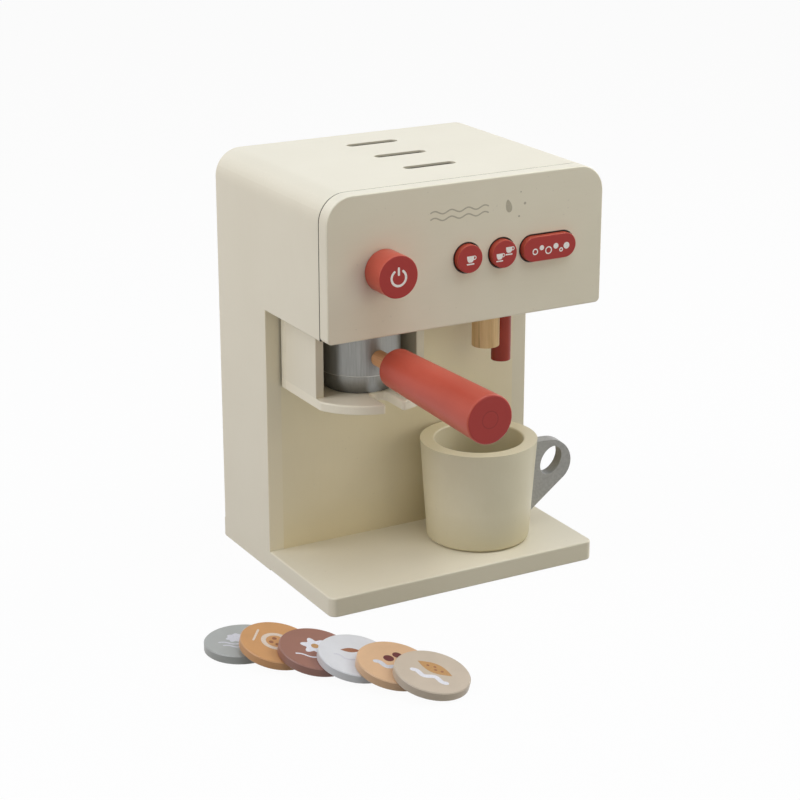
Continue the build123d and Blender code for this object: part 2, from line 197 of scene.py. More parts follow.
def set_finish(node_names, material):
    """Give CAD pieces one finish all over."""
    for name in node_names:
        piece = nodes[name]
        piece.data.materials.clear()
        piece.data.materials.append(material)


def darker(colour, share):
    """The colour with each of its parts brought down to that share."""
    return tuple(share * part for part in colour[:3]) + (1,)


def principled(finish, **sockets):
    """Surface shader. An underscore in a socket's name stands for a space."""
    named = {name.replace("_", " "): value for name, value in sockets.items()}
    return finish.node("ShaderNodeBsdfPrincipled", None, named)


def noise(finish, place, size, detail=2.0, roughness=0.5):
    """Cloudy value about 0.5 whose blobs are that many metres across."""
    sockets = {"Vector": place, "Scale": 1.0 / size, "Detail": detail, "Roughness": roughness}
    return finish.node("ShaderNodeTexNoise", None, sockets)


def bumped(finish, height, strength, distance):
    """Surface direction over small heights."""
    return finish.node("ShaderNodeBump", None, {"Strength": strength, "Distance": distance, "Height": height})


def stretched(finish, factors):
    """Object coordinates, scaled along each axis."""
    coordinates = finish.node("ShaderNodeTexCoord").output("Object")
    return finish.node("ShaderNodeMapping", None, {"Vector": coordinates, "Scale": factors})


def in_millimetres(finish):
    """Object coordinates in millimetres, one output for each axis."""
    return finish.node("ShaderNodeSeparateXYZ", None, {"Vector": stretched(finish, (1000, 1000, 1000))})


def facing(finish):
    """The direction in which a surface looks, one output for each axis."""
    normal = finish.node("ShaderNodeTexCoord").output("Normal")
    return finish.node("ShaderNodeSeparateXYZ", None, {"Vector": normal})


COLOUR_OUTPUT = 2             # of a Mix node, whose outputs share one name


def blended(finish, factor, first, second):
    """Two colours mixed by a factor."""
    made = finish.node("ShaderNodeMix", {"data_type": "RGBA"}, {0: factor, 6: first, 7: second})
    return Wire(finish, made.socket.node.outputs[COLOUR_OUTPUT])


def eased_edges(finish, axis=None):
    """1 on rounded-over edges: of a board with faces along the axes, or of a piece turned about one axis."""
    looks = facing(finish)
    if axis is None:
        across, deep, up = (abs(looks.output(letter)) for letter in "XYZ")
        return (1 - across.most(deep).most(up)).clamped(0.03, 0.22)
    along = abs(looks.output(axis))
    return (along * (1 - along)).clamped(0.06, 0.20)


def flat_faces(finish, axis):
    """1 on the flat faces of a piece turned about an axis."""
    return abs(facing(finish).output(axis)).clamped(0.75, 0.95)


# Painted shade: near black in narrow gaps and round the buttons' holes, a dim brown down the slots' walls.
GAP_PAINTED_SHADE = (0.062, 0.056, 0.044, 1)
SLOT_PAINTED_SHADE = (0.270, 0.248, 0.196, 1)
CRISP = 0.02                  # half the width in millimetres over which a box of painted shade or painted light ends
FAR = 1000.0                  # millimetres, for a box that is open on that side


def inside_box(finish, low, high, soft=CRISP):
    """1 inside a box given by two corners in millimetres, fading over soft on both sides of its faces."""
    place = in_millimetres(finish)
    mask = 1.0
    for letter, least, most in zip("XYZ", low, high):
        if least > -FAR:
            mask = place.output(letter).clamped(least - soft, least + soft) * mask
        if most < FAR:
            mask = (1 - place.output(letter).clamped(most - soft, most + soft)) * mask
    return mask


def away_from(finish, x, z, straight=0):
    """Millimetres from the axis of a round hole at x and z, or from the straight stretch of a long one."""
    place = in_millimetres(finish)
    across = (abs(place.output("X") - x) - straight / 2).most(0)
    return (across ** 2 + (place.output("Z") - z) ** 2) ** 0.5


PEEL_SIZE = 0.0011            # metres across, as the next two
FIBRE_SIZE = 0.0016
SPECK_SIZE = 0.0022
PAINT_RELIEF = 0.00012        # metres


def painted(name, colour, shade, grain=(1, 1, 0.12), gloss=0.40, peel=0.10, shade_size=0.05, wood=0.25,
            turned=None, rubbed=0.30, face_colour=None, side_colour=None, sheen=0.5, plug=None, stains=(),
            holes=()):
    """Satin paint over wood. shade is the colour of its darker clouds, shade_size their size, and grain
    squeezes the fibres along an axis. peel and wood are how far orange-peel and fibres stand up, and rubbed
    is how far the paint is lighter along its edges, as light wear and a painted highlight. turned is the axis
    of a round piece, whose flat faces or round side may take another colour: end grain and plies that dry
    darker, with painted shade over them, or painted light on the mug's flat faces. plug is the x, z and
    radius of a plug under the paint. stains lists boxes with their colour and how softly they end, all
    painted shade
    and painted light: in gaps and slots, and on faces made darker or lighter. holes lists the x, z, radius
    and straight stretch of bores, whose edges get painted shade."""
    finish = Finish(name)
    plain = stretched(finish, (1, 1, 1))
    clouds = noise(finish, plain, shade_size, 3.0)
    peel_height = noise(finish, plain, PEEL_SIZE, 2.0, 0.6)
    fibre_height = noise(finish, stretched(finish, grain), FIBRE_SIZE, 3.0, 0.6)
    specks = noise(finish, plain, SPECK_SIZE, 1.0)
    tint = clouds.clamped(0.35, 0.65) * 0.75 + fibre_height.clamped(0.3, 0.7) * 0.25
    base = blended(finish, tint, shade, colour)
    base = blended(finish, specks.clamped(0.76, 0.82) * 0.5, base, darker(colour, 0.80))
    # The flat faces or the round side take a colour of their own: darker end grain and plies with painted
    # shade over them, or painted light on the mug's flat faces.
    if face_colour:
        base = blended(finish, flat_faces(finish, turned), base, face_colour)
    if side_colour:
        base = blended(finish, flat_faces(finish, turned), side_colour, base)
    # Lighter along the eased edges: light wear and a painted highlight.
    wear_and_highlight = eased_edges(finish, turned) * (peel_height.clamped(0.25, 0.6) * 0.5 + 0.5)
    wear_and_highlight_colour = tuple(min(1.0, 1.18 * part + 0.02) for part in colour[:3]) + (1,)
    base = blended(finish, wear_and_highlight * rubbed, base, wear_and_highlight_colour)
    rough = gloss + (clouds - 0.5) * 0.10 + (peel_height - 0.5) * 0.08 - wear_and_highlight * 0.05
    height = peel_height * peel + fibre_height * wood
    if plug:
        x, z, radius = plug
        joint = 1 - abs(away_from(finish, x, z) - radius).clamped(0.10, 0.45)
        base = blended(finish, joint * 0.55, base, darker(face_colour, 0.55))
        height = height - joint * 0.5
    # Boxes of painted shade and painted light.
    for low, high, stain, soft in stains:
        base = blended(finish, inside_box(finish, low, high, soft), base, stain)
    # Painted shade round each bore and down its wall.
    for x, z, radius, straight in holes:
        inside = 1 - away_from(finish, x, z, straight).clamped(radius - CRISP, radius + CRISP)
        base = blended(finish, inside, base, GAP_PAINTED_SHADE)
    relief = bumped(finish, height, 0.35, PAINT_RELIEF)
    return finish.surface(principled(
        finish, Base_Color=base, Roughness=rough, Normal=relief, Specular_IOR_Level=sheen))


CREAM = (0.780, 0.732, 0.586, 1)
CREAM_SHADE = (0.755, 0.704, 0.556, 1)
# Painted light: the serving wall and the plate under the basket get a lighter cream than the other boards,
# the wall's also yellower.
WALL_CREAM_PAINTED_LIGHT = (0.825, 0.752, 0.555, 1)
WALL_CLOUDS_PAINTED_LIGHT = (0.795, 0.719, 0.520, 1)
PLATE_CREAM_PAINTED_LIGHT = (0.850, 0.795, 0.640, 1)
PLATE_CLOUDS_PAINTED_LIGHT = (0.820, 0.765, 0.610, 1)
UPRIGHT = (1, 1, 0.08)        # how a board's fibres are squeezed, by the way that they run
LENGTHWISE = (0.08, 1, 1)

PANEL_FACE, PANEL_BACK = (corner.y * 1000 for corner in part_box("front_panel"))
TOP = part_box("top_board")[1].z * 1000
HEAD_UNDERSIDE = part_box("head_floor")[0].z * 1000
OVER_BASE = 100               # a height between the base and the head
BASE_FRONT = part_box("base_plate")[0].y * 1000
BASE_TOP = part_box("base_plate")[1].z * 1000
COLUMN_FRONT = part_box("serving_wall")[0].y * 1000
BAY_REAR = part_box("bay_back")[1].y * 1000
SEAM = 0.7                    # the panel stands off the housing by this much round its rim
BAY_STANDOFF = 1.5            # and the upright edges of the board behind the bay off the wall by this much
SLOT_LIP = 1.1                # depth below the top from which the slots' walls get painted shade

# Boxes of painted shade and painted light. Each has a low and a high corner in millimetres, a colour and a
# softness. The tenths past a face take its edges in or leave them out.
# Painted shade on the board ends behind the panel's seam, in the seam, behind the bay's standoff and down the
# slots' walls.
shade_behind_panel = ((-FAR, -FAR, OVER_BASE), (FAR, PANEL_BACK + 0.12, FAR), GAP_PAINTED_SHADE, CRISP)
shade_in_seam = ((-FAR, PANEL_BACK - SEAM - 0.06, -FAR), (FAR, FAR, FAR), GAP_PAINTED_SHADE, CRISP)
shade_behind_bay = ((-FAR, BAY_REAR - BAY_STANDOFF - 0.05, -FAR), (FAR, FAR, FAR), GAP_PAINTED_SHADE, CRISP)
shade_in_slots = ((-60, -50, -FAR), (60, 60, TOP - SLOT_LIP), SLOT_PAINTED_SHADE, CRISP)
# Painted shade on the base's front face.
shade_on_base_front = ((-FAR, -FAR, -FAR), (FAR, BASE_FRONT + 0.4, FAR), (0.672, 0.625, 0.485, 1), 0.3)
# Painted light on the front edge of the left side board, under the head.
light_on_column_edge = ((-FAR, COLUMN_FRONT - 0.5, BASE_TOP + 0.5), (0, COLUMN_FRONT + 0.4, HEAD_UNDERSIDE - 0.3),
               (0.838, 0.768, 0.590, 1), 0.2)
# Painted shade low on the serving wall, and painted light high on its left part under the head.
shade_on_wall_foot = ((-FAR, -FAR, -FAR), (FAR, FAR, 24), (0.775, 0.680, 0.450, 1), 16)
light_on_wall_top = ((-FAR, -FAR, 105), (45, FAR, FAR), (0.940, 0.850, 0.600, 1), 35)

HOLE_EDGE_SHADE = 0.4               # how far the painted shade reaches past the rim of a button's hole
ROUND_HOLE = 8.8 + HOLE_EDGE_SHADE
LONG_HOLE = 7.9 + HOLE_EDGE_SHADE
LONG_HOLE_STRAIGHT = 21.0
button_holes = []
for name, radius, straight in (("button_one_cup", ROUND_HOLE, 0), ("button_two_cup", ROUND_HOLE, 0),
                               ("button_milk_foam", LONG_HOLE, LONG_HOLE_STRAIGHT)):
    low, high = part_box(name)
    middle = (low + high) / 2 * 1000
    button_holes.append((middle.x, middle.z, radius, straight))


def cream_painted(node_names, name, grain, colour=CREAM, shade=CREAM_SHADE, **more):
    """Paint boards of the housing."""
    set_finish(node_names, painted(name, colour, shade, grain=grain, **more))


cream_painted(("rear_board", "bay_wall_left", "bay_wall_right"), "cream_paint_upright", UPRIGHT)
cream_painted(("side_board_left", "side_board_right"), "cream_paint_sides", UPRIGHT,
              stains=[shade_behind_panel, light_on_column_edge])
cream_painted(("bay_back",), "cream_paint_bay_back", UPRIGHT, stains=[shade_behind_bay])
cream_painted(("head_floor",), "cream_paint_lengthwise", LENGTHWISE)
cream_painted(("base_plate",), "cream_paint_base", LENGTHWISE, stains=[shade_on_base_front])
cream_painted(("top_board",), "cream_paint_top", LENGTHWISE, stains=[shade_behind_panel, shade_in_slots])
# The panel's edges are lighter still: light wear and a painted highlight.
cream_painted(("front_panel",), "cream_paint_panel", LENGTHWISE, rubbed=0.60, stains=[shade_in_seam],
              holes=button_holes)
cream_painted(("serving_wall",), "cream_paint_wall", UPRIGHT, WALL_CREAM_PAINTED_LIGHT, WALL_CLOUDS_PAINTED_LIGHT,
              stains=[light_on_wall_top, shade_on_wall_foot])
cream_painted(("bay_plate",), "cream_paint_bay_plate", LENGTHWISE, PLATE_CREAM_PAINTED_LIGHT, PLATE_CLOUDS_PAINTED_LIGHT)


# Inside of the head. The guide board behind the panel, the knob's shaft and its collar are bare oiled birch.
# Each button has a spring of steel wire round its stem, between its flange and the guide board.

RING_WARP = 0.012             # metres across, as the next two
BARE_FIBRE = 0.0006
PORE = 0.0011
ALONG_FIBRES = 0.06           # how the grain is squeezed along them
WOOD_RELIEF = 0.0001          # metres


def bare_wood(name, light, dark, along, ring=0.004, gloss=0.55):
    """Oiled wood. along is 0, 1 or 2 for the axis that its fibres follow, and ring the width of its rings."""
    finish = Finish(name)
    squeeze = [1.0, 1.0, 1.0]
    squeeze[along] = ALONG_FIBRES
    place = stretched(finish, tuple(squeeze))
    warp = noise(finish, place, RING_WARP, 2.0)
    bands = noise(finish, place, ring, 3.0, 0.6)
    fibres = noise(finish, place, BARE_FIBRE, 2.0, 0.7)
    pores = noise(finish, place, PORE, 1.0)
    tint = (bands + (warp - 0.5) * 0.6).clamped(0.30, 0.70)
    base = blended(finish, tint, dark, light)
    base = blended(finish, pores.clamped(0.62, 0.74) * 0.45, base, darker(dark, 0.6))
    rough = gloss + (fibres - 0.5) * 0.2
    relief = bumped(finish, fibres * 0.6 + bands * 0.4, 0.4, WOOD_RELIEF)
    return finish.surface(principled(
        finish, Base_Color=base, Roughness=rough, Normal=relief, Specular_IOR_Level=0.35))


BIRCH_LIGHT = (0.640, 0.440, 0.240, 1)
BIRCH_DARK = (0.430, 0.255, 0.115, 1)
set_finish(("button_guide_board", "knob_collar"), bare_wood("bare_birch_board", BIRCH_LIGHT, BIRCH_DARK, 0))
set_finish(("knob_shaft",), bare_wood("bare_birch_shaft", BIRCH_LIGHT, BIRCH_DARK, 1))

STEEL_DARK = (0.36, 0.36, 0.37, 1)
STEEL_LIGHT = (0.52, 0.52, 0.53, 1)
SCRATCH = 0.0004              # metres across
steel = Finish("spring_steel")
scratches = noise(steel, stretched(steel, (1, 1, 1)), SCRATCH, 2.0)
steel_wire = steel.surface(principled(
    steel, Base_Color=blended(steel, scratches, STEEL_DARK, STEEL_LIGHT), Metallic=1.0,
    Roughness=0.28 + scratches * 0.15))

COIL_RADIUS = 0.0032          # metres, to the middle of the wire
COIL_TURNS = 4
COIL_STEPS = 28               # to a turn
WIRE_RADIUS = 0.0004
WIRE_SIDES = 10


def wound_spring(name, cad_node):
    """A spring wound round the line that its button slides on, from the guide board to the flange."""
    low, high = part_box(cad_node)
    length = high.y - low.y
    bpy.ops.object.select_all(action="DESELECT")
    bpy.ops.mesh.primitive_circle_add(vertices=WIRE_SIDES, radius=WIRE_RADIUS,
                                      location=(COIL_RADIUS, 0, WIRE_RADIUS),
                                      rotation=(math.radians(90), 0, 0))
    coil = bpy.context.object
    bpy.ops.object.transform_apply(location=True, rotation=True)
    winding = coil.modifiers.new("winding", "SCREW")
    winding.screw_offset = (length - 2 * WIRE_RADIUS) / COIL_TURNS
    winding.iterations = COIL_TURNS
    winding.steps = winding.render_steps = COIL_STEPS
    bpy.ops.object.modifier_apply(modifier=winding.name)
    bpy.ops.object.mode_set(mode="EDIT")
    bpy.ops.mesh.select_all(action="DESELECT")
    bpy.ops.mesh.select_non_manifold()
    bpy.ops.mesh.fill_holes(sides=0)
    bpy.ops.mesh.select_all(action="SELECT")
    bpy.ops.mesh.normals_make_consistent(inside=False)
    bpy.ops.object.mode_set(mode="OBJECT")
    bpy.ops.object.shade_smooth_by_angle(angle=math.radians(40))
    middle = (low + high) / 2
    back = Vector((middle.x, high.y, middle.z))
    coil.data.transform(Matrix.Translation(back) @ Matrix.Rotation(math.radians(90), 4, "X"))
    coil.name = name
    coil.data.materials.append(steel_wire)
    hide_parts(cad_node)
    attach(coil, "machine")
    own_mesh(coil)


wound_spring("one_cup_coil", "spring_one_cup")
wound_spring("two_cup_coil", "spring_two_cup")
wound_spring("milk_foam_coil", "spring_milk_foam")


# Marks on the front panel. Faint grey-brown ink is screened on the paint: two ripples, a drop and a few dots.
# Every mark is a thin film of ink that lies on its face.

INK_FILM = 0.05               # thickness of the ink in millimetres
INK_LAYER = 0.02              # how much higher ink on ink lies
INK_GRAIN = 0.0007            # metres, as the next
INK_RELIEF = 0.00006
END_STEPS = (15, 30, 45, 60, 75, 90)
LINE_LOOK = 0.05              # how far a line looks ahead and back for its direction
RING_STEPS = 48
DROP_STEPS = 36
DROP_NARROWING = 0.45


def ink(name, colour, gloss=0.42):
    """Screened ink, a little uneven, that follows the paint under it."""
    finish = Finish(name)
    cover = noise(finish, stretched(finish, (1, 1, 1)), INK_GRAIN, 2.0, 0.6)
    base = blended(finish, cover.clamped(0.3, 0.55), darker(colour, 0.86), colour)
    relief = bumped(finish, cover, 0.3, INK_RELIEF)
    return finish.surface(principled(
        finish, Base_Color=base, Roughness=gloss + (cover - 0.5) * 0.15, Normal=relief))


def flat_shape(ink_used, layer):
    """The flat shape just drawn, with its ink, at its height over the face."""
    shape = bpy.context.object
    for corner in shape.data.vertices:
        corner.co.z = layer * INK_LAYER
    shape.data.materials.append(ink_used)
    return shape


def ink_line(points, width, ink_used, layer=0):
    """A line with rounded ends through points, in millimetres."""
    walked = [0.0]
    for start, end in zip(points, points[1:]):
        walked.append(walked[-1] + math.dist(start, end))

    def at(distance):
        leg = max(i for i in range(len(points) - 1) if walked[i] <= max(distance, 0.0))
        share = (distance - walked[leg]) / (walked[leg + 1] - walked[leg])
        return Vector(points[leg]).lerp(Vector(points[leg + 1]), share)

    half = width / 2
    ends = [(half * (1 - math.cos(math.radians(a))), half * math.sin(math.radians(a))) for a in END_STEPS]
    middle = [(d, half) for d in walked if half * 1.1 < d < walked[-1] - half * 1.1]
    steps = ends + middle + [(walked[-1] - d, h) for d, h in reversed(ends)]
    bpy.ops.mesh.primitive_grid_add(x_subdivisions=len(steps) - 1, y_subdivisions=1)
    corners = bpy.context.object.data.vertices
    for column, (distance, reach) in enumerate(steps):
        ahead = (at(distance + LINE_LOOK) - at(distance - LINE_LOOK)).normalized()
        for row, side in enumerate((1, -1)):
            place = at(distance) + side * reach * Vector((ahead.y, -ahead.x))
            corners[row * len(steps) + column].co = (place.x, place.y, 0)
    return flat_shape(ink_used, layer)


def ink_patch(outline, ink_used, layer=0):
    """A filled shape inside an outline, in millimetres."""
    bpy.ops.mesh.primitive_circle_add(vertices=len(outline), fill_type="NGON")
    for corner, (x, y) in zip(bpy.context.object.data.vertices, outline):
        corner.co = (x, y, 0)
    return flat_shape(ink_used, layer)


def ink_ring(centre, radius, width, ink_used, layer=0):
    """A ring of ink, radius measured to its outside."""
    bpy.ops.mesh.primitive_circle_add(vertices=RING_STEPS, radius=radius, fill_type="NGON",
                                      location=(*centre, 0))
    bpy.ops.object.transform_apply(location=True)
    bpy.ops.object.mode_set(mode="EDIT")
    bpy.ops.mesh.select_all(action="SELECT")
    bpy.ops.mesh.inset(thickness=width)
    bpy.ops.mesh.delete(type="FACE")
    bpy.ops.object.mode_set(mode="OBJECT")
    return flat_shape(ink_used, layer)


def arc(centre, radius, start, end, step=6):
    """Points on an arc from one angle to another, in degrees."""
    count = max(2, round(abs(end - start) / step))
    angles = [math.radians(start + (end - start) * i / count) for i in range(count + 1)]
    return [(centre[0] + radius * math.cos(a), centre[1] + radius * math.sin(a)) for a in angles]


def ink_dot(x, y, radius, ink_used, layer=0, step=15):
    """A round dot with a corner every step degrees."""
    return ink_patch(arc((x, y), radius, 0, 360 - step, step), ink_used, layer)


def wave(start, end, swing, turns, steps=20):
    """Points on a wave along a straight line."""
    run = Vector(end) - Vector(start)
    aside = Vector((-run.y, run.x)).normalized()
    count = round(steps * turns)
    places = [Vector(start) + run * i / count + aside * swing * math.sin(math.tau * turns * i / count)
              for i in range(count + 1)]
    return [tuple(place) for place in places]


def drop(x, y, width, height, tilt):
    """Outline of a drop or a seed, pointed at its top."""
    upright = Matrix.Rotation(math.radians(tilt), 2)
    places = []
    for i in range(DROP_STEPS):
        a = math.tau * i / DROP_STEPS
        narrow = 1 - DROP_NARROWING * (math.sin(a) + 1) / 2
        places.append(upright @ Vector((width / 2 * math.cos(a) * narrow, height / 2 * math.sin(a))))
    return [(x + place.x, y + place.y) for place in places]


def printed(name, body, place, shapes):
    """Join flat shapes into one film of ink and lay it on the face at place."""
    bpy.ops.object.select_all(action="DESELECT")
    for shape in shapes:
        shape.select_set(True)
    mark = bpy.context.view_layer.objects.active = shapes[0]
    if len(shapes) > 1:
        bpy.ops.object.join()
    mark.name = name
    film = mark.modifiers.new("ink_film", "SOLIDIFY")
    film.thickness = INK_FILM
    film.offset = 0.0
    bpy.ops.object.modifier_apply(modifier=film.name)
    bpy.ops.object.mode_set(mode="EDIT")
    bpy.ops.mesh.select_all(action="SELECT")
    bpy.ops.mesh.normals_make_consistent(inside=False)
    bpy.ops.object.mode_set(mode="OBJECT")
    mark.data.transform(place @ Matrix.Scale(0.001, 4))
    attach(mark, body)


def on_front(x, z, face_y):
    """Place on an upright face that looks to the front, from millimetres."""
    return Matrix.Translation((x / 1000, face_y / 1000, z / 1000)) @ Matrix.Rotation(math.radians(90), 4, "X")


panel_ink = ink("panel_ink", (0.480, 0.440, 0.335, 1), 0.5)
bpy.ops.object.select_all(action="DESELECT")
printed("panel_marks", "machine", on_front(-6.3, 228.5, PANEL_FACE), [
    ink_line(wave((-19, 1.9), (19, 1.9), 0.9, 3.5), 0.8, panel_ink),
    ink_line(wave((-19, -1.9), (19, -1.9), 0.9, 3.5), 0.8, panel_ink),
    ink_patch(drop(32.2, 0.3, 5.0, 7.6, 12), panel_ink),
    ink_dot(43.0, 0.7, 0.8, panel_ink),
    ink_dot(39.2, -6.4, 0.6, panel_ink),
    ink_dot(40.2, 7.6, 0.45, panel_ink),
])


# Power knob. Turned beech, sprayed with satin red, with the power sign screened on its face in white. It is
# glued on the shaft that turns in the panel.

# Painted light: the knob's red is a little lighter than the same red on the buttons and grip.
KNOB_RED_PAINTED_LIGHT = (0.540, 0.098, 0.060, 1)
KNOB_CLOUDS_PAINTED_LIGHT = (0.490, 0.082, 0.050, 1)
RED_END_GRAIN_AND_SHADE = (0.420, 0.042, 0.036, 1)     # end grain takes up the paint and dries darker; painted shade darkens it further
FRONT_TO_BACK = (1, 0.1, 1)                  # how its fibres are squeezed
KNOB_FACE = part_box("power_knob")[0].y * 1000
set_finish(("power_knob",), painted("red_paint_knob", KNOB_RED_PAINTED_LIGHT, KNOB_CLOUDS_PAINTED_LIGHT, grain=FRONT_TO_BACK, gloss=0.34,
                                    shade_size=0.02, wood=0.12, turned="Y", face_colour=RED_END_GRAIN_AND_SHADE,
                                    sheen=0.25))
white_ink = ink("white_ink", (0.940, 0.920, 0.880, 1))
printed("power_mark", "knob", on_front(-54.6, 201.9, KNOB_FACE), [
    ink_line(arc((0, -0.2), 4.5, 118, 422), 1.35, white_ink),
    ink_line([(0.0, 5.9), (0.0, 1.0)], 1.35, white_ink),
])


# Push buttons. Turned and shaped from beech, sprayed red like the knob, each with a white sign: one cup, two
# cups and milk foam. Each slides in its hole in the panel against its spring.

RED = (0.510, 0.086, 0.050, 1)
RED_SHADE = (0.460, 0.070, 0.040, 1)
BUTTON_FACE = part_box("button_one_cup")[0].y * 1000
# Painted shade on the buttons' sides inside their holes.
shade_in_hole = ((-FAR, PANEL_FACE + 0.30, -FAR), (FAR, FAR, FAR), GAP_PAINTED_SHADE, CRISP)
set_finish(("button_one_cup", "button_two_cup", "button_milk_foam"),
           painted("red_paint_buttons", RED, RED_SHADE, grain=FRONT_TO_BACK, gloss=0.34, shade_size=0.02,
                   wood=0.12, turned="Y", face_colour=RED_END_GRAIN_AND_SHADE, sheen=0.25, stains=[shade_in_hole]))


def cup_sign(x, y, size):
    """A cup with its handle and saucer, size times 7 mm wide."""
    bowl = [(-2.9, 2.5), (1.7, 2.5), (1.6, 0.9), (1.2, -0.4), (0.4, -1.2), (-1.6, -1.2), (-2.4, -0.4),
            (-2.8, 0.9)]
    return [
        ink_patch([(x + size * a, y + size * b) for a, b in bowl], white_ink),
        ink_ring((x + size * 2.0, y + size * 1.3), size * 1.25, size * 0.5, white_ink, -0.5),
        ink_line([(x - size * 3.1, y - size * 2.2), (x + size * 1.9, y - size * 2.2)], size * 0.8, white_ink),
    ]


printed("one_cup_mark", "one_cup_button", on_front(-0.5, 201.4, BUTTON_FACE), cup_sign(0, 0, 1.0))
printed("two_cup_mark", "two_cup_button", on_front(21.6, 201.8, BUTTON_FACE),
        cup_sign(-2.9, -1.3, 0.92) + cup_sign(3.3, 1.9, 0.92))

OPEN_BUBBLES = ((-11.0, -0.6, 1.9), (-2.0, -0.7, 2.3), (6.6, -1.4, 1.3))
FILLED_BUBBLES = ((-6.6, 1.3, 1.5), (3.0, 1.2, 1.7), (10.2, 0.6, 2.0))
printed("milk_foam_mark", "milk_foam_button", on_front(53.0, 201.4, BUTTON_FACE),
        [ink_ring((x, y), radius, 0.7, white_ink) for x, y, radius in OPEN_BUBBLES] +
        [ink_dot(x, y, radius, white_ink) for x, y, radius in FILLED_BUBBLES])


# Steam wand. A beech dowel with a rounded end, sprayed red and glued into the head's floor. Its red is
# darker than the buttons' as painted shade, for the shade under the head.

WAND_RED_PAINTED_SHADE = (0.370, 0.050, 0.027, 1)
WAND_CLOUDS_PAINTED_SHADE = (0.330, 0.042, 0.023, 1)
set_finish(("steam_wand",), painted("red_paint_wand", WAND_RED_PAINTED_SHADE, WAND_CLOUDS_PAINTED_SHADE, grain=UPRIGHT, gloss=0.36,
                                    shade_size=0.02, turned="Z", sheen=0.25))


# Portafilter. Grey turned basket with fine upright brush strokes, a bare beech pin, and a red turned grip
# whose end shows the plug that closes its bore as a faint ring under the paint.

GREY = (0.355, 0.358, 0.340, 1)
GREY_SHADE = (0.250, 0.250, 0.236, 1)
# Painted highlight along the basket's rounded edges.
GREY_EDGE_HIGHLIGHT = (0.520, 0.540, 0.540, 1)
# Painted shade on the bowl near its foot.
BOWL_PAINTED_SHADE = (0.120, 0.120, 0.112, 1)
# Painted highlight along the lower edge of the ring.
RING_PAINTED_HIGHLIGHT = (0.640, 0.640, 0.615, 1)
STROKE = 0.0011               # metres across, as the next
BASKET_CLOUD = 0.02
BASKET_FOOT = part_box("filter_basket")[0].z * 1000
BOWL_SHADE = 3                # millimetres over its foot up to which the bowl's painted shade is darkest
BOWL_HEIGHT = 10.5            # the ring above the bowl stands out a little, and its lower edge gets a painted highlight
basket = Finish("grey_brushed_paint")
strokes = noise(basket, stretched(basket, (1, 1, 0.05)), STROKE, 3.0, 0.65)
basket_clouds = noise(basket, stretched(basket, (1, 1, 1)), BASKET_CLOUD, 2.0)
bowl_shade_mask = inside_box(basket, (-FAR, -FAR, -FAR), (FAR, FAR, BASKET_FOOT + BOWL_SHADE), 6)
ring_highlight_mask = inside_box(basket, (-FAR, -FAR, BASKET_FOOT + BOWL_HEIGHT - 0.1),
                       (FAR, FAR, BASKET_FOOT + BOWL_HEIGHT + 0.6), 0.1)
basket_base = blended(basket, strokes.clamped(0.3, 0.7) * 0.7 + basket_clouds * 0.3, GREY_SHADE, GREY)
basket_base = blended(basket, eased_edges(basket, "Z") * 0.3, basket_base, GREY_EDGE_HIGHLIGHT)
basket_base = blended(basket, bowl_shade_mask, basket_base, BOWL_PAINTED_SHADE)
basket_base = blended(basket, ring_highlight_mask * 0.85, basket_base, RING_PAINTED_HIGHLIGHT)
set_finish(("filter_basket",), basket.surface(principled(
    basket, Base_Color=basket_base, Metallic=0.65, Roughness=0.34 + strokes * 0.14,
    Normal=bumped(basket, strokes, 0.4, WOOD_RELIEF))))

PIN_LIGHT = (0.900, 0.500, 0.250, 1)
PIN_DARK = (0.600, 0.290, 0.125, 1)
set_finish(("handle_pin",), bare_wood("bare_beech_pin", PIN_LIGHT, PIN_DARK, 1))

GRIP_PLUG = (-44.9, 143.0, 4.75)             # x, z and radius in millimetres
set_finish(("portafilter_handle",), painted("red_paint_grip", RED, RED_SHADE, grain=(1, 0.08, 1), gloss=0.38,
                                            shade_size=0.03, turned="Y", face_colour=RED_END_GRAIN_AND_SHADE, sheen=0.3,
                                            plug=GRIP_PLUG))


# Nozzle. A plain beech dowel, oiled and left bare, glued into the head's floor over the mug. Its fibres run
# upright and its pores show as fine dark dashes.

BEECH_LIGHT = (0.930, 0.680, 0.370, 1)
BEECH_DARK = (0.640, 0.410, 0.190, 1)
set_finish(("coffee_nozzle",), bare_wood("bare_beech_dowel", BEECH_LIGHT, BEECH_DARK, 2, ring=0.0035))


# Mug. Turned from one block and painted cream, with a loop cut from grey-painted board. The loop's end is cut
# to the round of the cup and glued to its side. Painted shade darkens the mug towards its foot, and painted
# light brightens its rim and floor.

MUG_CREAM = (0.712, 0.664, 0.495, 1)
MUG_SHADE = (0.680, 0.628, 0.455, 1)
MUG_FLAT_FACES_PAINTED_LIGHT = (0.810, 0.740, 0.530, 1)
MUG_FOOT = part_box("mug_cup")[0].z * 1000
# Painted shade towards the foot.
shade_on_mug_foot = ((-FAR, -FAR, -FAR), (FAR, FAR, MUG_FOOT + 8), (0.530, 0.470, 0.290, 1), 16)
# The flat faces, rim and floor, get painted light; the eased edges are lighter still, light wear and a
# painted highlight.
set_finish(("mug_cup",), painted("mug_paint", MUG_CREAM, MUG_SHADE, grain=(1, 1, 0.2), shade_size=0.03,
                                 turned="Z", rubbed=0.75, face_colour=MUG_FLAT_FACES_PAINTED_LIGHT, stains=[shade_on_mug_foot]))
LOOP_GREY = (0.415, 0.415, 0.402, 1)
LOOP_SHADE = (0.330, 0.330, 0.320, 1)
set_finish(("mug_handle",), painted("grey_paint_loop", LOOP_GREY, LOOP_SHADE, grain=(1, 1, 1),
                                    shade_size=0.0015, peel=0.3))


# Flavour discs: 5 mm plywood rounds, each painted in its flavour's colour and screened with a small picture.
# They lie in a row, each leaning on the one before it.

